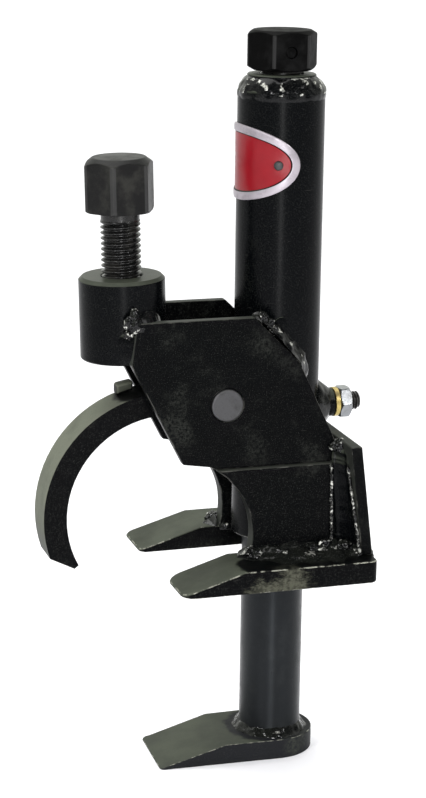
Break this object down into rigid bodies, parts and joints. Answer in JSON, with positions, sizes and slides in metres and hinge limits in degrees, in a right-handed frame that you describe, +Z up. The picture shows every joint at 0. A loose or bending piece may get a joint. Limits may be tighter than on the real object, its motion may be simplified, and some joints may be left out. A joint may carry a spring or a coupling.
{
  "type": "ball joint separator",
  "caption": "Screw-driven steel press with a forked frame, a wedge foot on a sliding ram and a clamped hook arm, for parting tapered ball joints.",
  "frame": {"origin": "on the ram axis, at the underside of the foot", "axes": "+Z up along the ram and main screw; -X towards the jaws (prongs, foot tip and hook); -Y is the side with the visible badge end"},
  "size_m": [0.1975, 0.126, 0.4396],
  "materials": {
    "fork_paint": "satin black paint, chipped and rubbed along the edges",
    "tube_paint": "semi-gloss black paint",
    "arm_paint": "satin black paint over a forged surface",
    "ram_steel": "dark blued round bar, satin",
    "screw_oxide": "black oxide, lightly oiled",
    "pin_steel": "bare steel",
    "button_steel": "hardened bare steel",
    "bright_zinc": "bright zinc plate",
    "yellow_zinc": "yellow zinc plate",
    "badge_enamel": "red enamel field inside a silver rim"
  },
  "bodies": {
    "frame": {"fork_plate_near": "fork_paint", "leg_plate_near": "fork_paint", "side_plate_near": "fork_paint", "pivot_spacer_near": "screw_oxide", "badge_rivet_near": "pin_steel", "fork_plate_far": "fork_paint", "leg_plate_far": "fork_paint", "side_plate_far": "fork_paint", "pivot_spacer_far": "screw_oxide", "badge_rivet_far": "pin_steel", "rear_plate": "fork_paint", "ram_tube": "tube_paint", "tube_cap": "tube_paint", "key_boss": "tube_paint", "key_screw": "screw_oxide", "key_washer": "yellow_zinc", "key_nut": "bright_zinc", "pivot_pin": "pin_steel", "badge_plate": "badge_enamel", "clamp_boss": "tube_paint"},
    "ram": {"ram": "ram_steel", "thrust_button": "button_steel", "ram_foot": "fork_paint"},
    "main_screw": {"main_screw_rod": "screw_oxide", "main_screw_head": "screw_oxide", "main_head_pin": "pin_steel"},
    "clamp_tip": {"clamp_ball": "button_steel"},
    "clamp_screw": {"clamp_screw": "screw_oxide"},
    "hook_arm": {"hook_arm": "arm_paint", "arm_pad": "arm_paint"}
  },
  "joints": [
    {"name": "ram_slide", "type": "slide", "parent": "frame", "child": "ram", "axis": [0, 0, -1], "range_m": [-0.09, 0.0018]},
    {"name": "main_screw_turn", "type": "hinge", "parent": "ram", "child": "main_screw", "pos_m": [0, 0, 0.3], "axis": [0, 0, -1], "range_deg": [-10206, 205]},
    {"name": "clamp_slide", "type": "slide", "parent": "frame", "child": "clamp_tip", "axis": [0.0267, 0, -0.9996], "range_m": [-0.0076, 0.0192]},
    {"name": "clamp_screw_turn", "type": "hinge", "parent": "clamp_tip", "child": "clamp_screw", "pos_m": [-0.09446, 0, 0.2768], "axis": [0.0267, 0, -0.9996], "range_deg": [-863, 2178]},
    {"name": "hook_swing", "type": "hinge", "parent": "frame", "child": "hook_arm", "pos_m": [-0.0402, 0, 0.2276], "axis": [0, -1, 0], "range_deg": [-8, 20.1]}
  ],
  "couplings": [
    {"joint": "main_screw_turn", "follows": "ram_slide", "rad_per_m": 1979},
    {"joint": "clamp_screw_turn", "follows": "clamp_slide", "rad_per_m": 1979},
    {"joint": "hook_swing", "follows": "clamp_slide", "rad_per_m": 18.2}
  ]
}
